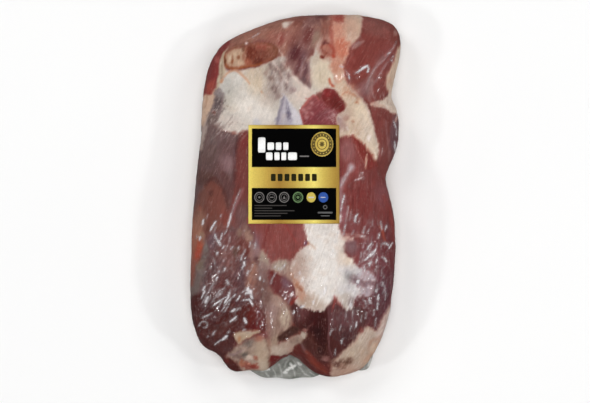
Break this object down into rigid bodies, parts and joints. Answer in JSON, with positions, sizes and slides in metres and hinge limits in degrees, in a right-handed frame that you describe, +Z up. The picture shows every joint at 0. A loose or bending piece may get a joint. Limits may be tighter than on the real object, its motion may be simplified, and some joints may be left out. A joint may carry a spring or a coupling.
{
  "type": "vacuum-packed beef brisket",
  "caption": "Whole boneless beef brisket shrunk tight in a clear vacuum bag, lying flat, with spare film at the bag's mouth and a rectangular label on top.",
  "frame": {"origin": "middle of the base, on the surface that the pack lies on", "axes": "+Z up, +Y along the long side away from the bag's mouth, +X across to the folded side"},
  "size_m": [0.2431, 0.4219, 0.0821],
  "materials": {
    "meat": "raw beef, dark red muscle with cream fat and silver skin, seen through clear tight film",
    "film": "clear shrink film, glossy, finely wrinkled",
    "label": "black label with gold border and band, satin"
  },
  "bodies": {
    "root": {"pack": "meat", "label": "label"}
  },
  "joints": []
}
